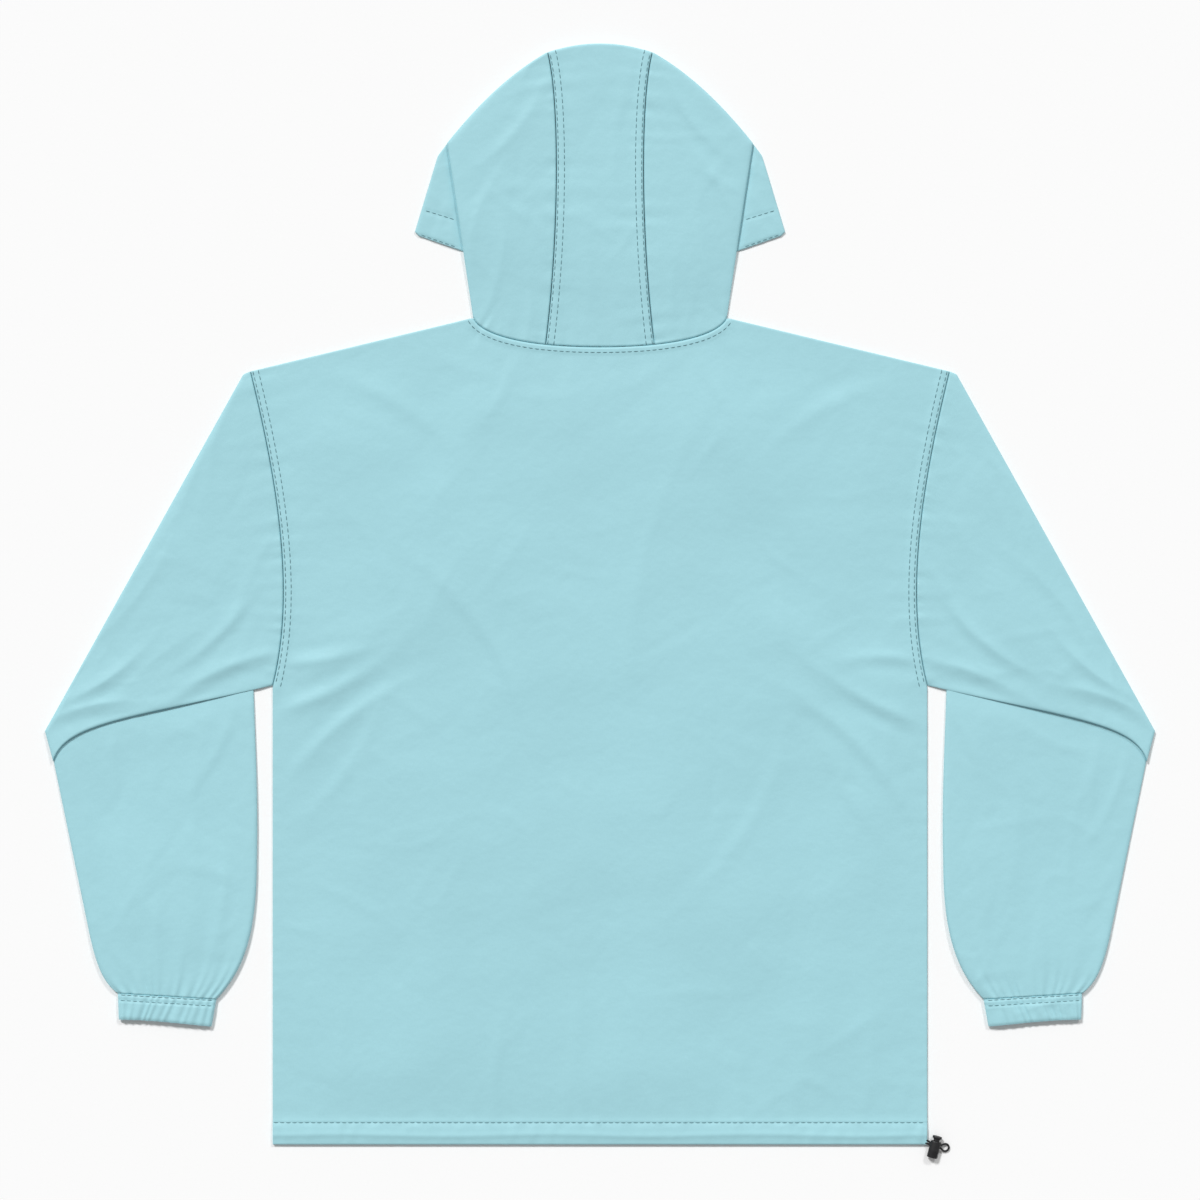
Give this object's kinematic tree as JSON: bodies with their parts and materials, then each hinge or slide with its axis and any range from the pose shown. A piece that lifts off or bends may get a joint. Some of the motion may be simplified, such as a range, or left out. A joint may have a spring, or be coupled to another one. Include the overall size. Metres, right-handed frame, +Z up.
{
  "type": "anorak pullover",
  "caption": "Hooded pullover anorak lying flat with its back up: drop-shoulder body, elastic cuffs, three-panel hood, and a cord lock at the hem.",
  "frame": {"origin": "on the surface that the garment lies on, below the middle of its outline", "axes": "+X to the wearer's right, +Y from the hem to the hood, +Z up from the surface, so the back of the garment faces +Z"},
  "size_m": [1.0202, 1.0251, 0.0076],
  "materials": {
    "shell_cloth": "matte",
    "elastic_cord": "matte",
    "lock_plastic": "satin"
  },
  "bodies": {
    "garment": {"front_panel": "shell_cloth", "back_panel": "shell_cloth", "sleeve_left": "shell_cloth", "sleeve_right": "shell_cloth", "cuff_left": "shell_cloth", "cuff_right": "shell_cloth", "hood_centre": "shell_cloth", "hood_side_left": "shell_cloth", "hood_side_right": "shell_cloth", "hem_cord": "elastic_cord", "cord_lock_barrel": "lock_plastic"},
    "plunger": {"cord_lock_plunger": "lock_plastic"}
  },
  "joints": [
    {"name": "plunger_press", "type": "slide", "parent": "garment", "child": "plunger", "axis": [0.2588, 0.9659, 0], "range_m": [-0.0023, 0], "stiffness_N_per_m": 400, "springref_m": 0.002}
  ]
}
